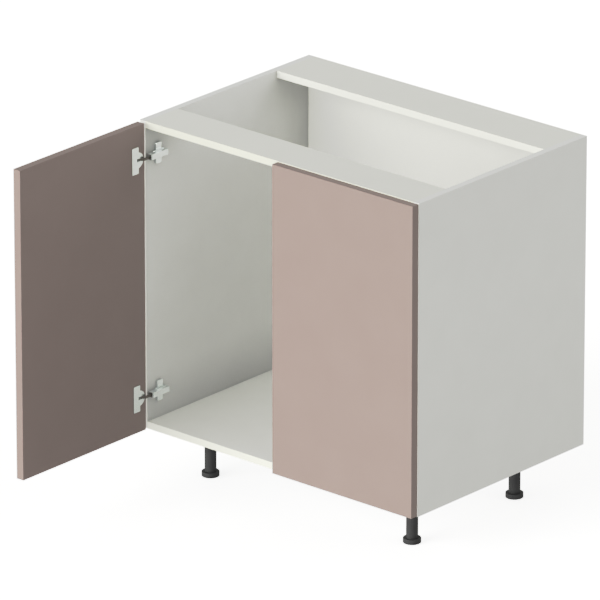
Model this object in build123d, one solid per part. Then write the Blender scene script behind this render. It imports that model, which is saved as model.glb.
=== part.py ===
from build123d import *
from math import atan2, cos, degrees, hypot, radians, sin
import os

# Sink base cabinet, millimetres.  X runs to the right, Y to the wall, Z up from the floor.
# The right door is shut and the left door stands open, so the origin is the centre of that footprint.

# Carcase of melamine-faced boards
carcase_width = 800.0
carcase_depth = 560.0
carcase_height = 720.0
board = 16.0
edge_band = 1.0
top_rail_depth = 106.0
upright_rail_height = 100.0
back_thickness = 4.0
back_groove_depth = 8.0
back_tongue = 7.5
back_clearance = 0.3

# Wooden dowels and cam fittings that hold the boards together
dowel_radius = 4.0
dowel_length = 30.0
dowel_in_side = 10.0
dowel_end_space = 0.5
dowel_pitch = 32.0
cam_radius = 7.5
cam_depth = 12.0
cam_setback = 24.0
cam_mouth_width = 7.6
cam_cross_width = 2.0
cam_cross_length = 9.0
cam_cross_depth = 3.0
bolt_thread_radius = 2.5
bolt_thread_length = 10.0
bolt_collar_radius = 3.75
bolt_collar_length = 2.0
bolt_shank_radius = 2.75
bolt_neck_radius = 1.6
bolt_neck_length = 4.0
bolt_head_radius = 3.0
bolt_head_length = 2.5
bolt_bore_radius = 4.0
bottom_fitting_inset = 60.0

# Doors
door_thickness = 19.0
door_gap = 1.5
door_side_reveal = 1.0
door_end_reveal = 1.5
door_split = 2.0
left_open_angle = 90.0

# Hinge positions, and the line that each door turns about
hinge_from_door_end = 80.0
pivot_from_door_edge = 5.75
pivot_from_inner_face = 14.25

# Hinge cup in the door
cup_from_door_edge = 22.5
cup_radius = 17.5
cup_depth = 12.0
cup_wall = 1.0
cup_flange_thickness = 1.0
cup_flange_radius = 18.5
cup_plate_inner = 19.0
cup_plate_outer = 40.0
cup_plate_height = 62.0
cup_plate_corner = 2.5
cup_stud_spacing = 45.0
cup_stud_offset = 9.5
cup_slot_start = 6.2
cup_slot_end = 24.5
cheek_width = 8.0
cheek_height = 3.5
cheek_front_step = 2.5

# Expanding dowels that hold the cups and the mounting plates
plug_radius = 5.0
plug_length = 11.0
stud_radius = 2.5
stud_length = 9.0

# Hinge links and their pins
cup_pin_from_edge = 10.0
cup_pin_from_face = 6.0
arm_pin_from_panel = 3.0
arm_pin_setback = 12.5
pin_radius = 1.0
pin_running_clearance = 0.05
eye_radius = 2.2
outer_link_height = 5.8
outer_link_thickness = 2.0
outer_link_reach = 7.0
outer_link_rise = 1.5
outer_link_drop = 3.5
inner_link_plate = 1.5
link_side_clearance = 0.35

# Hinge arm on its mounting plate
arm_setback = 1.0
arm_length = 54.0
arm_stand_off = 16.0
arm_wall = 1.2
arm_side_clearance = 0.3
arm_edge_stand_off = 2.3
arm_cover_thickness = 0.8
arm_cover_setback = 2.0
arm_screw_setback = 48.0
arm_screw_radius = 2.0
arm_screw_head_radius = 3.2
arm_screw_head_depth = 1.0
arm_screw_length = 7.0
plate_face = 5.7
plate_line = 37.0
plate_wing_width = 17.0
plate_wing_height = 48.0
plate_corner = 3.0
plate_bar_start = 24.0
plate_bar_end = 54.0
plate_bar_height = 16.0
plate_stud_spacing = 32.0

# Adjustable legs
leg_height = 120.0
leg_inset = 107.0
leg_tube_radius = 13.2
leg_bore_radius = 10.0
leg_flange_radius = 30.0
leg_flange_thickness = 4.0
leg_bush_length = 25.0
leg_screw_circle = 22.0
leg_screw_radius = 1.75
leg_screw_length = 12.0
leg_screw_head_radius = 3.5
leg_screw_head_height = 2.4
leg_screws_per_leg = 4
foot_radius = 20.0
foot_height = 11.0
foot_edge_radius = 1.0
foot_gap = 0.3
foot_floor = 2.2
spindle_radius = 6.0
spindle_length = 52.0
spindle_disc_radius = 7.0
spindle_disc_height = 3.0
spindle_neck_radius = 4.0
spindle_clearance = 0.3

# Places worked out from the sizes above
half_width = carcase_width / 2
door_width = (carcase_width - 2 * door_side_reveal - door_split) / 2
door_height = carcase_height - 2 * door_end_reveal
open_reach = pivot_from_inner_face + door_gap + door_width - pivot_from_door_edge
front_y = (open_reach - carcase_depth) / 2
rear_y = front_y + carcase_depth
floor_z = leg_height
top_z = leg_height + carcase_height
inner_x = half_width - board
back_rear_y = rear_y - board
back_front_y = back_rear_y - back_thickness
lower_hinge_z = floor_z + door_end_reveal + hinge_from_door_end
upper_hinge_z = top_z - door_end_reveal - hinge_from_door_end
hinge_levels = {"lower": lower_hinge_z, "upper": upper_hinge_z}
door_low_z = floor_z + door_end_reveal
door_high_z = top_z - door_end_reveal
board_middle_low = floor_z + board / 2
board_middle_top = top_z - board / 2
board_middle_back = rear_y - board / 2


def box(x_span, y_span, z_span):
    size = (x_span[1] - x_span[0], y_span[1] - y_span[0], z_span[1] - z_span[0])
    middle = (sum(x_span) / 2, sum(y_span) / 2, sum(z_span) / 2)
    return Pos(*middle) * Box(*size)


def rod(start, direction, length, radius):
    return extrude(Plane(origin=start, z_dir=direction) * Circle(radius), length)


def mirrored(shape):
    return mirror(shape, about=Plane.YZ)


def with_mirror(shapes):
    return shapes + [mirrored(shape) for shape in shapes]


def save(name, shapes):
    solids = shapes if isinstance(shapes, list) else [shapes]
    part = solids[0] if len(solids) == 1 else Compound(children=solids)
    part.label = name
    export_step(part, f"parts/{name}.step")


# ---------------------------------------------------------------- board joints

def joint_rows():
    """Each row of fittings at a board's left end: the middle of the end grain, the way along the row,
    the face that the cams are sunk in from, the cam places and the dowel places along the row."""
    rail_middle = top_rail_depth / 2
    low_rows = (bottom_fitting_inset, carcase_depth - bottom_fitting_inset)
    low_dowels = (low_rows[0] + dowel_pitch, low_rows[1] - dowel_pitch)
    rail_dowels = (rail_middle - dowel_pitch, rail_middle + dowel_pitch)
    upright_middle = upright_rail_height / 2
    upright_dowels = (upright_middle - dowel_pitch, upright_middle + dowel_pitch)
    rear_rail_front = back_front_y - back_clearance - top_rail_depth
    upright_low = top_z - upright_rail_height
    return {
        "bottom": ((front_y, board_middle_low), "y", (0, 0, 1), floor_z, low_rows, low_dowels),
        "front": ((front_y, board_middle_top), "y", (0, 0, 1), top_z - board, (rail_middle,), rail_dowels),
        "rear": ((rear_rail_front, board_middle_top), "y", (0, 0, 1), top_z - board, (rail_middle,),
                 rail_dowels),
        "upright": ((board_middle_back, upright_low), "z", (0, -1, 0), rear_y, (upright_middle,),
                    upright_dowels),
    }


def along(row, distance):
    (y, z), direction = row[0], row[1]
    return (y + distance, z) if direction == "y" else (y, z + distance)


def dowel(y, z, extra_length=0.0):
    start = -inner_x - dowel_in_side - extra_length
    return rod((start, y, z), (1, 0, 0), dowel_length + 2 * extra_length, dowel_radius)


def cam_bolt(y, z):
    start = -inner_x - bolt_thread_length
    thread = rod((start, y, z), (1, 0, 0), bolt_thread_length, bolt_thread_radius)
    collar = rod((-inner_x, y, z), (1, 0, 0), bolt_collar_length, bolt_collar_radius)
    head_end = -inner_x + cam_setback + bolt_head_length / 2
    neck_start = head_end - bolt_head_length - bolt_neck_length
    shank_length = neck_start + inner_x - bolt_collar_length
    shank = rod((-inner_x + bolt_collar_length, y, z), (1, 0, 0), shank_length, bolt_shank_radius)
    neck = rod((neck_start, y, z), (1, 0, 0), bolt_neck_length, bolt_neck_radius)
    head = rod((head_end - bolt_head_length, y, z), (1, 0, 0), bolt_head_length, bolt_head_radius)
    return thread + collar + shank + neck + head


def cam_seat(row, distance):
    y, z = along(row, distance)
    inward, face = row[2], row[3]
    x = -inner_x + cam_setback
    return (x, y, face) if inward[2] else (x, face, z)


def cam_lock(row, distance):
    y, z = along(row, distance)
    centre, inward = cam_seat(row, distance), row[2]
    barrel = rod(centre, inward, cam_depth, cam_radius)
    x = centre[0]
    mouth_half = cam_mouth_width / 2
    mouth = box((x - cam_radius, x + bolt_head_length), (y - mouth_half, y + mouth_half),
                (z - mouth_half, z + mouth_half))
    plane = Plane(origin=centre, x_dir=(1, 0, 0), z_dir=inward)
    cross = plane * (Rectangle(cam_cross_length, cam_cross_width) +
                     Rectangle(cam_cross_width, cam_cross_length))
    return barrel - mouth - extrude(cross, cam_cross_depth)


def end_bores(row):
    """Cutters for one board's left end: dowel bores, bolt bores and cam seats."""
    cutters = [dowel(*along(row, place), dowel_end_space) for place in row[5]]
    for place in row[4]:
        y, z = along(row, place)
        cutters.append(rod((-inner_x, y, z), (1, 0, 0), cam_setback, bolt_bore_radius))
        cutters.append(rod(cam_seat(row, place), row[2], cam_depth, cam_radius))
    return cutters


def side_bores(row):
    """Cutters for the left side panel: dowel bores and the threaded bores of the cam bolts."""
    cutters = [dowel(*along(row, place), dowel_end_space) for place in row[5]]
    for place in row[4]:
        y, z = along(row, place)
        cutters.append(rod((-inner_x - bolt_thread_length, y, z), (1, 0, 0), bolt_thread_length,
                           bolt_thread_radius))
    return cutters


def drilled(blank, row_names, rows):
    for name in row_names:
        for cutter in with_mirror(end_bores(rows[name])):
            blank = blank - cutter
    return blank


# ---------------------------------------------------------------- carcase

def back_blank(tongue):
    reach = inner_x + tongue
    return box((-reach, reach), (back_front_y, back_rear_y), (floor_z + board - tongue, top_z))


def side_panel(rows):
    blank = box((-half_width, -inner_x), (front_y + edge_band, rear_y), (floor_z, top_z))
    blank = blank - back_blank(back_groove_depth)
    for row in rows.values():
        for cutter in side_bores(row):
            blank = blank - cutter
    for z in hinge_levels.values():
        for side in (-1, 1):
            blank = blank - plate_plug(z + side * plate_stud_spacing / 2)
    return blank


def bottom_panel(rows):
    blank = box((-inner_x, inner_x), (front_y + edge_band, rear_y), (floor_z, floor_z + board))
    blank = blank - back_blank(back_groove_depth)
    blank = drilled(blank, ["bottom"], rows)
    for x, y in leg_places().values():
        for screw in leg_screw_places(x, y):
            blank = blank - rod((*screw, floor_z), (0, 0, 1), leg_screw_length, leg_screw_radius)
    return blank


def top_rail(name, rows):
    y_low = rows[name][0][0]
    y_start = y_low + (edge_band if name == "front" else 0.0)
    blank = box((-inner_x, inner_x), (y_start, y_low + top_rail_depth), (top_z - board, top_z))
    return drilled(blank, [name], rows)


def upright_rail(rows):
    blank = box((-inner_x, inner_x), (back_rear_y, rear_y), (top_z - upright_rail_height, top_z))
    return drilled(blank, ["upright"], rows)


def make_carcase():
    rows = joint_rows()
    left = side_panel(rows)
    save("left_side_panel", left)
    save("right_side_panel", mirrored(left))
    save("bottom_panel", bottom_panel(rows))
    save("front_top_rail", top_rail("front", rows))
    save("rear_top_rail", top_rail("rear", rows))
    save("rear_upright_rail", upright_rail(rows))
    save("back_panel", back_blank(back_tongue))
    band_y = (front_y, front_y + edge_band)
    left_band = box((-half_width, -inner_x), band_y, (floor_z, top_z))
    save("left_side_edge_band", left_band)
    save("right_side_edge_band", mirrored(left_band))
    save("bottom_edge_band", box((-inner_x, inner_x), band_y, (floor_z, floor_z + board)))
    save("rail_edge_band", box((-inner_x, inner_x), band_y, (top_z - board, top_z)))
    dowels = [dowel(*along(row, place)) for row in rows.values() for place in row[5]]
    bolts = [cam_bolt(*along(row, place)) for row in rows.values() for place in row[4]]
    cams = [cam_lock(row, place) for row in rows.values() for place in row[4]]
    save("wooden_dowels", with_mirror(dowels))
    save("cam_bolts", with_mirror(bolts))
    save("cam_locks", with_mirror(cams))


# ---------------------------------------------------------------- hinges
# A hinge is drawn for a shut left door, in a frame whose origin is the carcase's front left corner at
# the hinge's height.  X runs inward from the carcase's outer side, and Y runs back from its front.

door_edge = door_side_reveal
door_face = -door_gap
pivot = Vector(door_edge + pivot_from_door_edge, door_face - pivot_from_inner_face)
cup_pin = Vector(door_edge + cup_pin_from_edge, door_face - cup_pin_from_face)
arm_pin = Vector(board + arm_pin_from_panel, arm_pin_setback)
link_pin = arm_pin + cup_pin - pivot
cup_x = door_edge + cup_from_door_edge
arm_base = board + arm_stand_off
arm_inside = arm_base - arm_wall
half_link = outer_link_height / 2
plate_inside = half_link + link_side_clearance
plate_outside = plate_inside + inner_link_plate
arm_leg_inside = plate_outside + arm_side_clearance
arm_leg_outside = arm_leg_inside + arm_wall
plate_front = board + plate_face


def upright_rod(place, height, radius):
    return rod((place.X, place.Y, -height / 2), (0, 0, 1), height, radius)


def bar(start, end, width, z_low, z_high):
    """A flat bar with round ends from start to end."""
    run = hypot(end.X - start.X, end.Y - start.Y)
    angle = degrees(atan2(end.Y - start.Y, end.X - start.X))
    middle = (start + end) * 0.5
    shape = Pos(middle.X, middle.Y, z_low) * Rot(0, 0, angle) * SlotCenterToCenter(run, width)
    return extrude(shape, z_high - z_low)


def hinge_cup():
    shell = rod((cup_x, door_face, 0), (0, -1, 0), cup_depth, cup_radius)
    hollow_radius = cup_radius - cup_wall
    hollow = rod((cup_x, door_face, 0), (0, -1, 0), cup_depth - cup_wall, hollow_radius)
    plate_middle = door_edge + (cup_plate_inner + cup_plate_outer) / 2
    plate_width = cup_plate_outer - cup_plate_inner
    outline = Pos(plate_middle, 0) * RectangleRounded(plate_width, cup_plate_height, cup_plate_corner)
    bulge = Pos(cup_x, 0) * Circle(cup_flange_radius)
    bulge = bulge - Pos(cup_x + cup_flange_radius, 0) * Rectangle(2 * cup_flange_radius,
                                                                 2 * cup_flange_radius)
    flange = extrude(Plane(origin=(0, door_face, 0), x_dir=(1, 0, 0), z_dir=(0, 1, 0)) *
                     (outline + bulge), cup_flange_thickness)
    cheeks = cup_cheeks() & rod((cup_x, door_face, 0), (0, -1, 0), cup_depth, cup_radius)
    slot_half = half_link + link_side_clearance
    slot = box((door_edge + cup_slot_start, door_edge + cup_slot_end),
               (door_face - cheek_front_step, door_face + 2 * cup_flange_thickness),
               (-slot_half, slot_half))
    cup = (shell - hollow) + flange + cheeks
    cup = cup - slot - upright_rod(cup_pin, cup_pin_length(), pin_radius)
    for side in (-1, 1):
        cup = cup + rod(cup_stud_place(side), (0, -1, 0), stud_length, stud_radius)
    return cup


def cup_cheeks():
    inner = half_link + link_side_clearance
    x_span = (door_edge + cup_from_door_edge - cup_radius, cup_pin.X + cheek_width / 2)
    y_span = (door_face - cup_depth, door_face - cheek_front_step)
    upper = box(x_span, y_span, (inner, inner + cheek_height))
    return upper + mirror(upper, about=Plane.XY)


def cup_pin_length():
    return 2 * (half_link + link_side_clearance + cheek_height)


def cup_stud_place(side):
    return (cup_x + cup_stud_offset, door_face, side * cup_stud_spacing / 2)


def cup_plug(side):
    x, y, z = cup_stud_place(side)
    return rod((x, y, z), (0, -1, 0), plug_length, plug_radius)


def cup_stud(side):
    return rod(cup_stud_place(side), (0, -1, 0), stud_length, stud_radius)


def outer_link():
    elbow = Vector(cup_pin.X + outer_link_reach, cup_pin.Y - outer_link_rise)
    shoulder = Vector(link_pin.X, cup_pin.Y + outer_link_drop)
    corners = [cup_pin, elbow, shoulder, link_pin]
    link = upright_rod(cup_pin, outer_link_height, eye_radius)
    link = link + upright_rod(link_pin, outer_link_height, eye_radius)
    for start, end in zip(corners, corners[1:]):
        link = link + bar(start, end, outer_link_thickness, -half_link, half_link)
    for place in (cup_pin, link_pin):
        link = link - upright_rod(place, outer_link_height, pin_radius + pin_running_clearance)
    return link


def inner_link():
    plates = bar(arm_pin, link_pin, 2 * eye_radius, plate_inside, plate_outside)
    plates = plates + mirror(plates, about=Plane.XY)
    link = plates + upright_rod(arm_pin, 2 * plate_inside, eye_radius)
    link = link - upright_rod(arm_pin, 2 * plate_outside, pin_radius + pin_running_clearance)
    return link - upright_rod(link_pin, 2 * plate_outside, pin_radius)


def hinge_arm():
    low_y = arm_setback
    high_y = arm_setback + arm_length
    body = box((board + arm_edge_stand_off, arm_base), (low_y, high_y),
               (-arm_leg_outside, arm_leg_outside))
    channel = box((0, arm_inside), (0, high_y + arm_wall), (-arm_leg_inside, arm_leg_inside))
    plate_space = box((0, plate_front), (plate_bar_start, high_y + arm_wall),
                      (-arm_leg_outside, arm_leg_outside))
    arm = body - channel - plate_space - upright_rod(arm_pin, 2 * arm_leg_outside, pin_radius)
    return arm - arm_screw()


def arm_cover():
    return box((arm_base, arm_base + arm_cover_thickness),
               (arm_setback + arm_cover_setback, arm_setback + arm_length),
               (-arm_leg_outside, arm_leg_outside))


def arm_screw():
    tip = (arm_base - arm_screw_length, arm_screw_setback, 0)
    shank = rod(tip, (1, 0, 0), arm_screw_length, arm_screw_radius)
    head_start = (arm_base - arm_screw_head_depth, arm_screw_setback, 0)
    return shank + rod(head_start, (1, 0, 0), arm_screw_head_depth, arm_screw_head_radius)


def mounting_plate():
    wing = Pos(0, plate_line) * RectangleRounded(plate_wing_height, plate_wing_width, plate_corner)
    bar_middle = (plate_bar_start + plate_bar_end) / 2
    bar_length = plate_bar_end - plate_bar_start
    crossbar = Pos(0, bar_middle) * RectangleRounded(plate_bar_height, bar_length, plate_corner)
    face = Plane(origin=(board, 0, 0), x_dir=(0, 0, -1), z_dir=(1, 0, 0))
    plate = extrude(face * (wing + crossbar), plate_face)
    spine_half = arm_leg_inside - arm_side_clearance
    spine = box((plate_front, arm_inside), (plate_bar_start, plate_bar_end), (-spine_half, spine_half))
    plate = plate + spine - arm_screw()
    for side in (-1, 1):
        start = (board, plate_line, side * plate_stud_spacing / 2)
        plate = plate + rod(start, (-1, 0, 0), stud_length, stud_radius)
    return plate


def plate_plug(z):
    """The bore of one expanding dowel of a mounting plate, in the left side panel."""
    return rod((-inner_x, front_y + plate_line, z), (-1, 0, 0), plug_length, plug_radius)


def plate_plugs(z):
    plugs = []
    for side in (-1, 1):
        height = z + side * plate_stud_spacing / 2
        stud = rod((-inner_x, front_y + plate_line, height), (-1, 0, 0), stud_length, stud_radius)
        plugs.append(plate_plug(height) - stud)
    return plugs


def placed(shape, z):
    return Pos(-half_width, front_y, z) * shape


def turned(shape, centre, angle):
    axis = Axis((centre.X - half_width, centre.Y + front_y, 0), (0, 0, 1))
    return shape.rotate(axis, angle)


def door_board():
    span_x = (-half_width + door_edge, -half_width + door_edge + door_width)
    span_y = (front_y + door_face - door_thickness, front_y + door_face)
    door = box(span_x, span_y, (door_low_z, door_high_z))
    for z in hinge_levels.values():
        door = door - placed(rod((cup_x, door_face, 0), (0, -1, 0), cup_depth, cup_radius), z)
        for side in (-1, 1):
            door = door - placed(cup_plug(side), z)
    return door


def link_shift(angle):
    """How far the outer link has moved when the door has turned by angle from shut."""
    arm = link_pin - arm_pin
    turn = radians(angle)
    swung = Vector(arm.X * cos(turn) - arm.Y * sin(turn), arm.X * sin(turn) + arm.Y * cos(turn))
    return swung - arm


def make_door(side, angle, finish):
    """Writes one door and what moves with it.  The pieces are drawn for a shut left door, turned by
    angle about their own lines, then mirrored where the door hangs on the right."""
    heights = hinge_levels.values()
    shift = link_shift(angle)
    save(f"{side}_door", finish(turned(door_board(), pivot, angle)))
    plugs = [placed(cup_plug(end) - cup_stud(end), z) for z in heights for end in (-1, 1)]
    save(f"{side}_cup_dowels", [finish(turned(plug, pivot, angle)) for plug in plugs])
    cup_pins = [placed(upright_rod(cup_pin, cup_pin_length(), pin_radius), z) for z in heights]
    save(f"{side}_cup_pins", [finish(turned(pin, pivot, angle)) for pin in cup_pins])
    link_pins = [placed(upright_rod(link_pin, 2 * plate_outside, pin_radius), z) for z in heights]
    save(f"{side}_link_pins", [finish(turned(pin, arm_pin, angle)) for pin in link_pins])
    for level, z in hinge_levels.items():
        save(f"{side}_{level}_hinge_cup", finish(turned(placed(hinge_cup(), z), pivot, angle)))
        save(f"{side}_{level}_inner_link", finish(turned(placed(inner_link(), z), arm_pin, angle)))
        save(f"{side}_{level}_outer_link", finish(Pos(shift.X, shift.Y, 0) * placed(outer_link(), z)))


def make_fixed_hinge_parts():
    finishes = {"left": lambda shape: shape, "right": mirrored}
    for side, finish in finishes.items():
        for level, z in hinge_levels.items():
            save(f"{side}_{level}_hinge_arm", finish(placed(hinge_arm(), z)))
            save(f"{side}_{level}_mounting_plate", finish(placed(mounting_plate(), z)))
    heights = hinge_levels.values()
    covers = [placed(arm_cover(), z) for z in heights]
    screws = [placed(arm_screw(), z) for z in heights]
    arm_pins = [placed(upright_rod(arm_pin, 2 * arm_leg_outside, pin_radius), z) for z in heights]
    plugs = [plug for z in heights for plug in plate_plugs(z)]
    save("hinge_arm_covers", with_mirror(covers))
    save("hinge_arm_screws", with_mirror(screws))
    save("hinge_arm_pins", with_mirror(arm_pins))
    save("mounting_plate_dowels", with_mirror(plugs))


# ---------------------------------------------------------------- legs

def leg_places():
    x = half_width - leg_inset
    low_y = front_y + leg_inset
    high_y = rear_y - leg_inset
    return {
        "front_left": (-x, low_y),
        "front_right": (x, low_y),
        "rear_left": (-x, high_y),
        "rear_right": (x, high_y),
    }


def leg_screw_places(x, y):
    step = 360 / leg_screws_per_leg
    turns = [radians(step * (index + 0.5)) for index in range(leg_screws_per_leg)]
    return [(x + leg_screw_circle * cos(turn), y + leg_screw_circle * sin(turn)) for turn in turns]


def leg_tube(x, y):
    low_z = foot_height + foot_gap
    flange = rod((x, y, floor_z - leg_flange_thickness), (0, 0, 1), leg_flange_thickness,
                 leg_flange_radius)
    tube = flange + rod((x, y, low_z), (0, 0, 1), floor_z - low_z, leg_tube_radius)
    bush_top = low_z + leg_bush_length
    tube = tube - rod((x, y, bush_top), (0, 0, 1), floor_z - bush_top, leg_bore_radius)
    tube = tube - rod((x, y, low_z), (0, 0, 1), leg_bush_length, spindle_radius + pin_running_clearance)
    for screw in leg_screw_places(x, y):
        tube = tube - rod((*screw, floor_z - leg_flange_thickness), (0, 0, 1), leg_flange_thickness,
                          leg_screw_radius)
    return tube


def leg_screw(x, y):
    head_z = floor_z - leg_flange_thickness - leg_screw_head_height
    head = rod((x, y, head_z), (0, 0, 1), leg_screw_head_height, leg_screw_head_radius)
    shank_length = leg_flange_thickness + leg_screw_length
    return head + rod((x, y, floor_z - leg_flange_thickness), (0, 0, 1), shank_length, leg_screw_radius)


def foot_pad(x, y):
    disc = rod((x, y, 0), (0, 0, 1), foot_height, foot_radius)
    disc = fillet(disc.edges().filter_by(GeomType.CIRCLE), foot_edge_radius)
    cavity_height = spindle_disc_height + 2 * spindle_clearance
    cavity = rod((x, y, foot_floor), (0, 0, 1), cavity_height, spindle_disc_radius + spindle_clearance)
    neck_low = foot_floor + cavity_height
    neck = rod((x, y, neck_low), (0, 0, 1), foot_height - neck_low,
               spindle_neck_radius + spindle_clearance)
    return disc - cavity - neck


def foot_spindle(x, y):
    disc_z = foot_floor + spindle_clearance
    neck_z = disc_z + spindle_disc_height
    thread_z = foot_height + foot_gap
    disc = rod((x, y, disc_z), (0, 0, 1), spindle_disc_height, spindle_disc_radius)
    neck = rod((x, y, neck_z), (0, 0, 1), thread_z - neck_z, spindle_neck_radius)
    return disc + neck + rod((x, y, thread_z), (0, 0, 1), spindle_length, spindle_radius)


def make_legs():
    screws = []
    for name, (x, y) in leg_places().items():
        save(f"{name}_leg_tube", leg_tube(x, y))
        save(f"{name}_foot_pad", foot_pad(x, y))
        save(f"{name}_foot_spindle", foot_spindle(x, y))
        screws += [leg_screw(*place) for place in leg_screw_places(x, y)]
    save("leg_screws", screws)


os.makedirs("parts", exist_ok=True)
make_carcase()
make_fixed_hinge_parts()
make_door("left", -left_open_angle, lambda shape: shape)
make_door("right", 0.0, mirrored)
make_legs()
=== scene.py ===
"""Sink base cabinet: materials, fine detail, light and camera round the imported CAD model."""
import math

import bpy
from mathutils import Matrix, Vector


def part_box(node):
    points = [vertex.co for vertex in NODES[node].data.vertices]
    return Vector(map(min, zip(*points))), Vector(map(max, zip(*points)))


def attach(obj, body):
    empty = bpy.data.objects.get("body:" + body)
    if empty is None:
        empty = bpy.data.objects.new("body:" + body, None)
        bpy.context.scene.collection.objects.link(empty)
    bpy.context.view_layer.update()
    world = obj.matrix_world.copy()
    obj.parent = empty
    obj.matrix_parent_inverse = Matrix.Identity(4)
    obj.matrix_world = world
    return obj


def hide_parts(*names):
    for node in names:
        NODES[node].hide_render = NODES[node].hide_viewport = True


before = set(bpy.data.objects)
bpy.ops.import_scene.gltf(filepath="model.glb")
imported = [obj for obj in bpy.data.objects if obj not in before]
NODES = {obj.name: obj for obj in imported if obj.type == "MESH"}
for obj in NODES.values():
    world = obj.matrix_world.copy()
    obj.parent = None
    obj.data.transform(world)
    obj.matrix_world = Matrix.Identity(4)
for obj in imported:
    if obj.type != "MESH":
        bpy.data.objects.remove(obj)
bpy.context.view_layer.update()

SCENE = bpy.context.scene


def direction(azimuth, elevation):
    """Which way a viewpoint or a light lies. Azimuth 0 is in front of the cabinet and 90 to its right."""
    return Vector((math.sin(azimuth) * math.cos(elevation), -math.cos(azimuth) * math.cos(elevation),
                   math.sin(elevation)))


# ---------------------------------------------------------------- camera

CAMERA_PLACE = (12.81408, -14.65719, 7.96646)
CAMERA_AZIMUTH = math.radians(41.169)
CAMERA_ELEVATION = math.radians(20.988)
CAMERA_LENS = 576.29
CAMERA_SENSOR = 36.0
CAMERA_REACH = 300.0

camera_data = bpy.data.cameras.new("Camera")
camera_data.sensor_width = CAMERA_SENSOR
camera_data.lens = CAMERA_LENS
camera_data.clip_end = CAMERA_REACH
camera = bpy.data.objects.new("Camera", camera_data)
SCENE.collection.objects.link(camera)
camera.location = CAMERA_PLACE
camera.rotation_mode = "QUATERNION"
view_line = -direction(CAMERA_AZIMUTH, CAMERA_ELEVATION)
camera.rotation_quaternion = view_line.to_track_quat("-Z", "Y")
SCENE.camera = camera

# ---------------------------------------------------------------- node helpers

MOTTLE_DETAIL = 3.0
MOTTLE_LOW = 0.3
MOTTLE_HIGH = 0.7
GRAIN_DETAIL = 2.0
BUMP_STRENGTH = 0.6
# Painted shade: ambient occlusion darkens the base colour in corners and between parts
PAINTED_SHADE_SAMPLES = 8
PAINTED_SHADE_FULL_AT = 0.3         # openness at which the painted corner shade is at its darkest
CHIP_SCALE = 520.0
CHIP_COLOURS = [(0.0, (0.40, 0.27, 0.165)), (0.3, (0.53, 0.385, 0.25)), (0.65, (0.62, 0.47, 0.32)),
                (1.0, (0.69, 0.55, 0.39))]
CUT_FACING = 0.9            # how squarely a surface faces the rear to count as a board's cut edge
CUT_ROUGHNESS = 0.4         # what a cut edge adds to the roughness


class Tree:
    """Builds a node tree. A value given to a node's input is either a constant or an output to link."""

    def __init__(self, tree):
        self.tree = tree
        self.tree.nodes.clear()

    def add(self, kind, settings=None, **values):
        node = self.tree.nodes.new(kind)
        for name, value in (settings or {}).items():
            setattr(node, name, value)
        for name, value in values.items():
            socket = node.inputs[name.replace("_", " ")]
            if hasattr(value, "is_output"):
                self.tree.links.new(value, socket)
            else:
                socket.default_value = value
        return node

    def ramp(self, factor, stops):
        node = self.add("ShaderNodeValToRGB", Fac=factor)
        ramp = node.color_ramp
        while len(ramp.elements) < len(stops):
            ramp.elements.new(0.5)
        for element, (place, colour) in zip(ramp.elements, stops):
            element.position = place
            element.color = (*colour, 1.0)
        return node.outputs["Color"]

    def noise(self, vector, scale, detail, stretch):
        mapping = self.add("ShaderNodeMapping", Vector=vector, Scale=stretch)
        noise = self.add("ShaderNodeTexNoise", Vector=mapping.outputs[0], Scale=scale, Detail=detail)
        return noise.outputs["Fac"]

    def math(self, operation, *values):
        node = self.tree.nodes.new("ShaderNodeMath")
        node.operation = operation
        for socket, value in zip(node.inputs, values):
            if hasattr(value, "is_output"):
                self.tree.links.new(value, socket)
            else:
                socket.default_value = value
        return node.outputs[0]

    def chipboard(self, place, stretch):
        """Pressed wood chips, long across the direction that stretch crowds them in."""
        crowded = self.add("ShaderNodeMapping", Vector=place, Scale=stretch)
        chips = self.add("ShaderNodeTexVoronoi", Vector=crowded.outputs[0], Scale=CHIP_SCALE)
        lot = self.add("ShaderNodeSeparateColor", Color=chips.outputs["Color"]).outputs[0]
        return self.ramp(lot, CHIP_COLOURS)

    def paint_corner_shade(self, colour, reach, amount):
        """Paints shade into the colour where another surface stands within reach."""
        near = self.add("ShaderNodeAmbientOcclusion", {"samples": PAINTED_SHADE_SAMPLES}, Distance=reach)
        keep = self.add("ShaderNodeMapRange", Value=near.outputs["AO"], From_Min=PAINTED_SHADE_FULL_AT,
                        To_Min=1 - amount)
        return self.add("ShaderNodeVectorMath", {"operation": "SCALE"}, Vector=colour,
                        Scale=keep.outputs[0]).outputs[0]


def shade(colour, factor):
    return tuple(min(1.0, value * factor) for value in colour)


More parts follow.
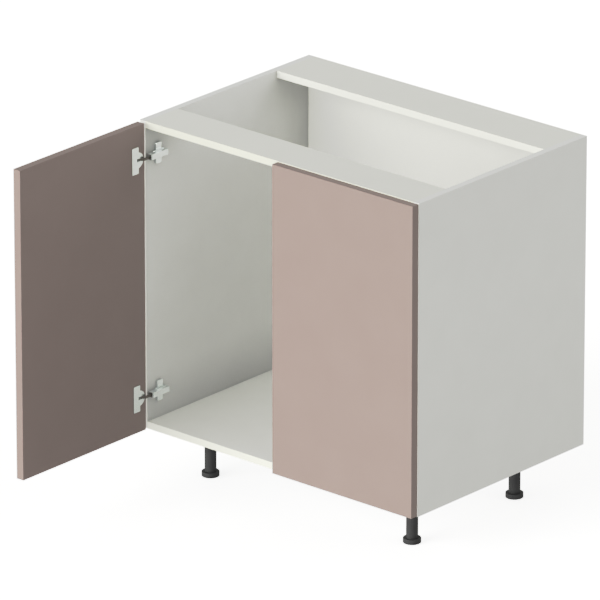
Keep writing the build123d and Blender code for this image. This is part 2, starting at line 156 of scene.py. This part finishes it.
def new_material(name, colour, spread, mottle_scale, roughness, rough_spread, grain_scale, bump_height,
                 metallic=0.0, specular=0.5, grain_stretch=(1.0, 1.0, 1.0), painted_shade=(), raw_rear=None):
    """A surface with mottled colour, uneven gloss and fine relief, all in the object's own metres.

    The colour wanders by spread either way and the roughness by rough_spread. Painted shade is given
    as a reach and amount per layer, darkening the colour near other surfaces. A raw_rear board shows
    chipboard, stretched by that much, wherever its surface faces the rear.
    """
    material = bpy.data.materials.new(name)
    material.use_nodes = True
    t = Tree(material.node_tree)
    coordinates = t.add("ShaderNodeTexCoord")
    place = coordinates.outputs["Object"]
    mottle = t.noise(place, mottle_scale, MOTTLE_DETAIL, grain_stretch)
    base = t.ramp(mottle, [(MOTTLE_LOW, shade(colour, 1 - spread)), (MOTTLE_HIGH, shade(colour, 1 + spread))])
    grain = t.noise(place, grain_scale, GRAIN_DETAIL, grain_stretch)
    gloss = t.add("ShaderNodeMapRange", Value=grain, To_Min=roughness - rough_spread,
                  To_Max=roughness + rough_spread).outputs[0]
    if raw_rear:
        facing = t.add("ShaderNodeSeparateXYZ", Vector=coordinates.outputs["Normal"]).outputs["Y"]
        cut = t.math("GREATER_THAN", facing, CUT_FACING)
        base = t.add("ShaderNodeMixRGB", Fac=cut, Color1=base, Color2=t.chipboard(place, raw_rear)).outputs[0]
        gloss = t.math("MULTIPLY_ADD", cut, CUT_ROUGHNESS, gloss)
    # Painted shade: the colour is darkened wherever other surfaces stand near, as occlusion would shade it
    for reach, amount in painted_shade:
        base = t.paint_corner_shade(base, reach, amount)
    bump = t.add("ShaderNodeBump", Height=grain, Strength=BUMP_STRENGTH, Distance=bump_height).outputs[0]
    shader = t.add("ShaderNodeBsdfPrincipled", Base_Color=base, Roughness=gloss, Metallic=metallic,
                   Specular_IOR_Level=specular, Normal=bump)
    t.add("ShaderNodeOutputMaterial", Surface=shader.outputs[0])
    return material


# ---------------------------------------------------------------- materials

# Painted shade near other surfaces: reach in metres, and the share of the colour taken away
JOINT_PAINTED_SHADE = (0.01, 0.12)
CORNER_PAINTED_SHADE = (0.12, 0.36)
WALL_PAINTED_SHADE = (0.6, 0.1)
BASE_PAINTED_SHADE = (0.6, 0.09)
BACK_PAINTED_SHADE = (0.6, 0.2)
CONTACT_PAINTED_SHADE = (0.01, 0.4)
DOOR_PAINTED_SHADE = (0.01, 0.5)

UPRIGHT_CHIPS = (2.2, 1.0, 0.8)
LEVEL_CHIPS = (0.8, 1.0, 2.2)
BEECH_GRAIN = (0.08, 1.0, 1.0)

WALL_WHITE = (0.80, 0.804, 0.815)
LEVEL_WHITE = (0.86, 0.864, 0.855)
BACK_WHITE = (0.80, 0.802, 0.775)
RAIL_WHITE = (0.79, 0.796, 0.75)
RAIL_EDGE_WHITE = (0.78, 0.787, 0.69)
# Darker than the other edge whites: painted shade, as of the narrow gap beside an open door
SIDE_EDGE_SHADED_WHITE = (0.74, 0.744, 0.742)
# Brighter than the other edge whites: painted light, making up for the open door's shadow on this edge
BOTTOM_EDGE_LIT_WHITE = (0.92, 0.925, 0.84)
BROWN = (0.278, 0.2245, 0.2195)
NICKEL = (0.90, 0.95, 0.955)
# Dark links: partly a dark steel, partly painted shade standing in for the shadow inside the hinge arm
SHADE_DARK_STEEL = (0.16, 0.145, 0.135)
STEEL = (0.55, 0.55, 0.56)
ZINC = (0.42, 0.43, 0.44)
BEECH = (0.55, 0.36, 0.20)
NYLON = (0.68, 0.66, 0.60)
LEG_BLACK = (0.050, 0.050, 0.054)
SPINDLE_BLACK = (0.040, 0.040, 0.044)

MELAMINE = dict(spread=0.012, mottle_scale=14.0, roughness=0.42, rough_spread=0.05, grain_scale=900.0,
                bump_height=0.00004)
EDGING = dict(spread=0.008, mottle_scale=30.0, roughness=0.38, rough_spread=0.05, grain_scale=1400.0,
              bump_height=0.00002)

rail_board = new_material("rail_melamine", RAIL_WHITE, **MELAMINE, painted_shade=(JOINT_PAINTED_SHADE,))
upright_board = new_material("upright_board_melamine", WALL_WHITE, **MELAMINE,
                             painted_shade=(JOINT_PAINTED_SHADE, CORNER_PAINTED_SHADE, WALL_PAINTED_SHADE), raw_rear=UPRIGHT_CHIPS)
level_board = new_material("level_board_melamine", LEVEL_WHITE, **MELAMINE,
                           painted_shade=(JOINT_PAINTED_SHADE, BASE_PAINTED_SHADE), raw_rear=LEVEL_CHIPS)
rail_edging = new_material("rail_edging", RAIL_EDGE_WHITE, **EDGING)
# Side edge strips carry painted shade in their darker white
shaded_side_edging = new_material("shaded_side_edging", SIDE_EDGE_SHADED_WHITE, **EDGING)
# The bottom edge strip carries painted light in its brighter white
lit_bottom_edging = new_material("lit_bottom_edging", BOTTOM_EDGE_LIT_WHITE, **EDGING)
back_sheet = new_material("back_sheet_lacquer", BACK_WHITE, spread=0.012, mottle_scale=9.0, roughness=0.5,
                          rough_spread=0.05, grain_scale=700.0, bump_height=0.00005, painted_shade=(BACK_PAINTED_SHADE,))
lacquer = new_material("brown_front_lacquer", BROWN, spread=0.015, mottle_scale=10.0, roughness=0.42,
                       rough_spread=0.04, grain_scale=500.0, bump_height=0.00004, specular=0.05,
                       painted_shade=(DOOR_PAINTED_SHADE,))
nickel = new_material("nickel_plate", NICKEL, spread=0.02, mottle_scale=90.0, roughness=0.24,
                      rough_spread=0.05, grain_scale=1500.0, bump_height=0.00002, metallic=0.9,
                      painted_shade=(CONTACT_PAINTED_SHADE,))
shade_dark_steel = new_material("link_steel_painted_shade", SHADE_DARK_STEEL, spread=0.06, mottle_scale=120.0, roughness=0.32,
                         rough_spread=0.06, grain_scale=1500.0, bump_height=0.00002, metallic=0.8)
steel = new_material("bright_steel", STEEL, spread=0.04, mottle_scale=120.0, roughness=0.3,
                     rough_spread=0.08, grain_scale=1800.0, bump_height=0.00002, metallic=0.9)
zinc = new_material("die_cast_zinc", ZINC, spread=0.06, mottle_scale=150.0, roughness=0.45,
                    rough_spread=0.1, grain_scale=1200.0, bump_height=0.00005, metallic=0.8)
beech = new_material("beech_wood", BEECH, spread=0.14, mottle_scale=120.0, roughness=0.62,
                     rough_spread=0.08, grain_scale=900.0, bump_height=0.00008, grain_stretch=BEECH_GRAIN)
nylon = new_material("pale_nylon", NYLON, spread=0.03, mottle_scale=90.0, roughness=0.48,
                     rough_spread=0.06, grain_scale=1300.0, bump_height=0.00004)
leg_plastic = new_material("dark_leg_plastic", LEG_BLACK, spread=0.08, mottle_scale=60.0, roughness=0.46,
                           rough_spread=0.06, grain_scale=1300.0, bump_height=0.00006, specular=0.1,
                           painted_shade=(CONTACT_PAINTED_SHADE,))
spindle_plastic = new_material("spindle_plastic", SPINDLE_BLACK, spread=0.08, mottle_scale=60.0,
                               roughness=0.42, rough_spread=0.08, grain_scale=1300.0, bump_height=0.00004)

# Marks in a node's name, its material, and the width of its softened edges in metres. The first row
# with a mark in the name counts. The spindles are drawn by the scene, below.
FINISHES = [
    (("side_panel",), upright_board, 0.0004),
    (("bottom_panel",), level_board, 0.0004),
    (("top_rail", "upright_rail"), rail_board, 0.0004),
    (("rail_edge_band",), rail_edging, 0.0003),
    (("side_edge_band",), shaded_side_edging, 0.0003),
    (("bottom_edge_band",), lit_bottom_edging, 0.0003),
    (("back_panel",), back_sheet, 0.0003),
    (("wooden_dowels",), beech, 0.0006),
    (("cam_bolts", "leg_screws", "_pins"), steel, 0.0),
    (("cam_locks",), zinc, 0.0003),
    (("cup_dowels", "mounting_plate_dowels"), nylon, 0.0004),
    (("_link",), shade_dark_steel, 0.0003),
    (("hinge_cup", "hinge_arm", "mounting_plate"), nickel, 0.0003),
    (("leg_tube", "foot_pad"), leg_plastic, 0.0005),
    (("foot_spindle",), spindle_plastic, 0.0004),
    (("_door",), lacquer, 0.0008),
]
BEVEL_SEGMENTS = 2
BEVEL_ANGLE = math.radians(40)


def finish_for(name):
    for marks, material, width in FINISHES:
        if any(mark in name for mark in marks):
            return material, width
    raise ValueError("no finish for " + name)


def dress(node, material, width):
    """Gives a CAD node its material, and softens its edges where a width is given."""
    node.data.materials.clear()
    node.data.materials.append(material)
    if width:
        bevel = node.modifiers.new("Soft edges", "BEVEL")
        bevel.width = width
        bevel.segments = BEVEL_SEGMENTS
        bevel.limit_method = "ANGLE"
        bevel.angle_limit = BEVEL_ANGLE
        bevel.use_clamp_overlap = True
        bevel.harden_normals = True


for name, node in NODES.items():
    dress(node, *finish_for(name))

# ---------------------------------------------------------------- threaded spindles of the feet

FOOT_PLACES = ("front_left", "front_right", "rear_left", "rear_right")
THREAD_PITCH = 0.004
THREAD_DEPTH = 0.0011
THREAD_LENGTH = 0.052
THREAD_RADIUS = 0.006
NECK_RADIUS = 0.004
DISC_HEIGHT = 0.003
SOFT_EDGE = 0.0003
ROUND_STEPS = 32
ROWS_PER_TURN = 12
SHARP_ANGLE = math.radians(35)


def thread_radius(angle, height):
    """A right-handed round-topped thread, thinned to a point at both of its ends."""
    ridge = 0.5 + 0.5 * math.cos(2 * math.pi * height / THREAD_PITCH - angle)
    lead = min(height, THREAD_LENGTH - height) + SOFT_EDGE
    return THREAD_RADIUS - THREAD_DEPTH + min(THREAD_DEPTH * ridge, lead)


def plain(radius):
    return lambda angle: radius


def threaded(height):
    return lambda angle: thread_radius(angle, height)


def spindle_rows(low, high, disc_radius):
    """Height and radius rule of each ring, from the disc in the foot to the top of the thread."""
    neck_low, thread_low = low + DISC_HEIGHT, high - THREAD_LENGTH
    soft_disc = plain(disc_radius - SOFT_EDGE)
    rows = [(low, soft_disc), (low + SOFT_EDGE, plain(disc_radius)),
            (neck_low - SOFT_EDGE, plain(disc_radius)), (neck_low, soft_disc),
            (neck_low, plain(NECK_RADIUS)), (thread_low, plain(NECK_RADIUS))]
    count = round(THREAD_LENGTH / THREAD_PITCH * ROWS_PER_TURN)
    for row in range(count + 1):
        height = THREAD_LENGTH * row / count
        rows.append((thread_low + height, threaded(height)))
    return rows


def closed_lathe(name, rows):
    """A skin of rings round the upright axis, closed at both ends."""
    angles = [2 * math.pi * step / ROUND_STEPS for step in range(ROUND_STEPS)]
    points = [(rule(angle) * math.cos(angle), rule(angle) * math.sin(angle), height)
              for height, rule in rows for angle in angles]
    faces = [tuple(reversed(range(ROUND_STEPS)))]
    for row in range(len(rows) - 1):
        for step in range(ROUND_STEPS):
            here, there = row * ROUND_STEPS + step, row * ROUND_STEPS + (step + 1) % ROUND_STEPS
            faces.append((here, there, there + ROUND_STEPS, here + ROUND_STEPS))
    faces.append(tuple(range(len(points) - ROUND_STEPS, len(points))))
    mesh = bpy.data.meshes.new(name)
    mesh.from_pydata(points, [], faces)
    mesh.shade_smooth()
    mesh.set_sharp_from_angle(angle=SHARP_ANGLE)
    return mesh


def threaded_spindle(place):
    """The rod of one foot with its real thread, in the place of the plain CAD rod."""
    name = place + "_threaded_spindle"
    low, high = (Vector(corner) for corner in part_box(place + "_foot_spindle"))
    disc_radius = (high.x - low.x) / 2
    piece = bpy.data.objects.new(name, closed_lathe(name, spindle_rows(low.z, high.z, disc_radius)))
    piece.location = ((low.x + high.x) / 2, (low.y + high.y) / 2, 0.0)
    piece.data.materials.append(spindle_plastic)
    SCENE.collection.objects.link(piece)
    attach(piece, place + "_spindle")
    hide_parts(place + "_foot_spindle")


for place in FOOT_PLACES:
    threaded_spindle(place)

# ---------------------------------------------------------------- floor, light and tone

FLOOR_SIZE = 400.0
FLOOR_DROP = 0.0002         # keeps the floor just clear of the feet
FLOOR_COLOUR = (0.86, 0.86, 0.91, 1.0)
FLOOR_ROUGHNESS = 0.9
FLOOR_GLOW = 1.12
LIGHT_TINT = (1.0, 1.0, 0.925)
WORLD_STRENGTH = 0.45
SUN_SPREAD = math.radians(45)
SUN_UNIT = math.pi          # lights a surface that faces it by 1
SUN_DISTANCE = 5

floor_mesh = bpy.data.meshes.new("Floor")
half = FLOOR_SIZE / 2
floor_mesh.from_pydata([(-half, -half, 0), (half, -half, 0), (half, half, 0), (-half, half, 0)], [],
                       [(0, 1, 2, 3)])
floor = bpy.data.objects.new("Floor", floor_mesh)
floor.location.z = -FLOOR_DROP
SCENE.collection.objects.link(floor)
floor_material = bpy.data.materials.new("Pale floor")
floor_material.use_nodes = True
t = Tree(floor_material.node_tree)
shader = t.add("ShaderNodeBsdfPrincipled", Base_Color=FLOOR_COLOUR, Roughness=FLOOR_ROUGHNESS)
shader.inputs["Emission Color"].default_value = (1.0, 1.0, 1.0, 1.0)
shader.inputs["Emission Strength"].default_value = FLOOR_GLOW
t.add("ShaderNodeOutputMaterial", Surface=shader.outputs[0])
floor_mesh.materials.append(floor_material)
floor.visible_diffuse = False
floor.visible_glossy = False

world = bpy.data.worlds.new("World")
SCENE.world = world
world.use_nodes = True
t = Tree(world.node_tree)
sky = t.add("ShaderNodeBackground", Color=(*LIGHT_TINT, 1.0), Strength=WORLD_STRENGTH)
t.add("ShaderNodeOutputWorld", Surface=sky.outputs[0])


def sun(name, azimuth, elevation, strength, shadow=True):
    """A soft distant light, its angles in degrees. One that casts no shadow fills evenly."""
    data = bpy.data.lights.new(name, "SUN")
    data.energy = strength * SUN_UNIT
    data.angle = SUN_SPREAD
    data.use_shadow = shadow
    data.cycles.use_multiple_importance_sampling = shadow
    data.color = LIGHT_TINT
    lamp = bpy.data.objects.new(name, data)
    SCENE.collection.objects.link(lamp)
    towards = direction(math.radians(azimuth), math.radians(elevation))
    lamp.rotation_mode = "QUATERNION"
    lamp.rotation_quaternion = towards.to_track_quat("Z", "Y")
    lamp.location = towards * SUN_DISTANCE


sun("Key", -20, 15, 0.95)
sun("Front fill", -20, 15, 0.5, shadow=False)
sun("Side fill", 120, 15, 0.18)
sun("Right fill", 75, 15, 0.1)

# The tone curve is straight up to KNEE and then bends over with an even slope of stops to white.
KNEE = 0.55
SLOPE = 0.5
WHITE_LEVEL = KNEE * (1 / KNEE) ** (1 / SLOPE)
TONE_STEPS = 8
ALL_CHANNELS = 3
tone = [(0.0, 0.0), (KNEE / 2, KNEE / 2)]
for step in range(TONE_STEPS + 1):
    level = KNEE + (WHITE_LEVEL - KNEE) * step / TONE_STEPS
    tone.append((level, KNEE * (level / KNEE) ** SLOPE))

view = SCENE.view_settings
view.view_transform = "Standard"
view.look = "None"
view.use_curve_mapping = True
mapping = view.curve_mapping
mapping.white_level = (WHITE_LEVEL, WHITE_LEVEL, WHITE_LEVEL)
curve = mapping.curves[ALL_CHANNELS]
while len(curve.points) < len(tone):
    curve.points.new(0.5, 0.5)
for point, (level, value) in zip(curve.points, tone):
    point.location = (level / WHITE_LEVEL, value)
mapping.update()
